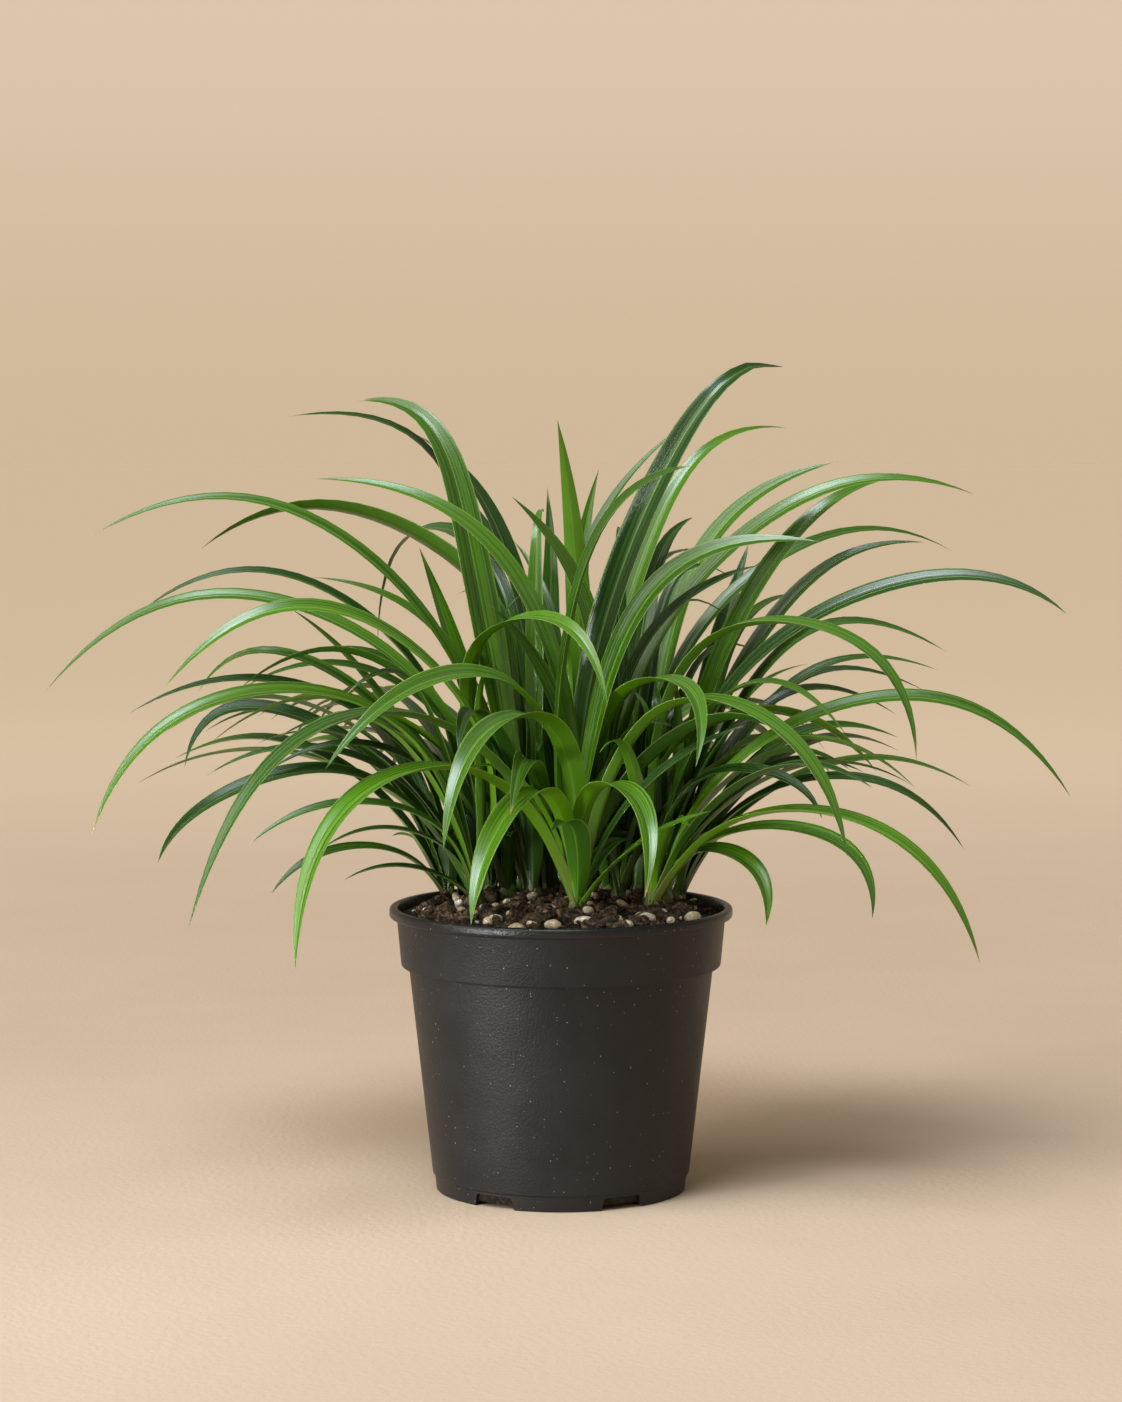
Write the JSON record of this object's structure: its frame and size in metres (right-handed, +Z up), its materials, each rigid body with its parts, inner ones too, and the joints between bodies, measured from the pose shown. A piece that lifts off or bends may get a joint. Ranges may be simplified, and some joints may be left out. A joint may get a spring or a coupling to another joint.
{
  "type": "potted lily turf plant",
  "caption": "Clump of arching strap-leaved lily turf growing in a round black nursery pot filled with bark soil.",
  "frame": {"origin": "centre of the pot's underside, on the surface that the pot stands on", "axes": "+Z up along the pot's axis, -Y toward the front of the plant, +X to the right of someone who faces that front"},
  "size_m": [0.56, 0.4382, 0.4569],
  "materials": {
    "pot": "fine-grained moulded black plastic, slightly glossy at the lip",
    "soil": "damp dark bark compost",
    "stone": "dull worn buff pebbles",
    "leaf": "smooth waxy strap leaf with fine parallel veins"
  },
  "bodies": {
    "root": {"pot": "pot", "soil": "soil", "stone_01": "stone", "stone_02": "stone", "stone_03": "stone", "stone_04": "stone", "stone_05": "stone", "stone_06": "stone", "stone_07": "stone", "stone_08": "stone", "stone_09": "stone", "shoot_01": "leaf", "shoot_02": "leaf", "shoot_03": "leaf", "shoot_04": "leaf", "shoot_05": "leaf", "shoot_06": "leaf", "shoot_07": "leaf", "shoot_08": "leaf", "shoot_09": "leaf", "shoot_10": "leaf", "shoot_11": "leaf", "shoot_12": "leaf", "shoot_13": "leaf", "shoot_14": "leaf", "shoot_15": "leaf", "shoot_16": "leaf", "shoot_17": "leaf", "shoot_18": "leaf"}
  },
  "joints": []
}
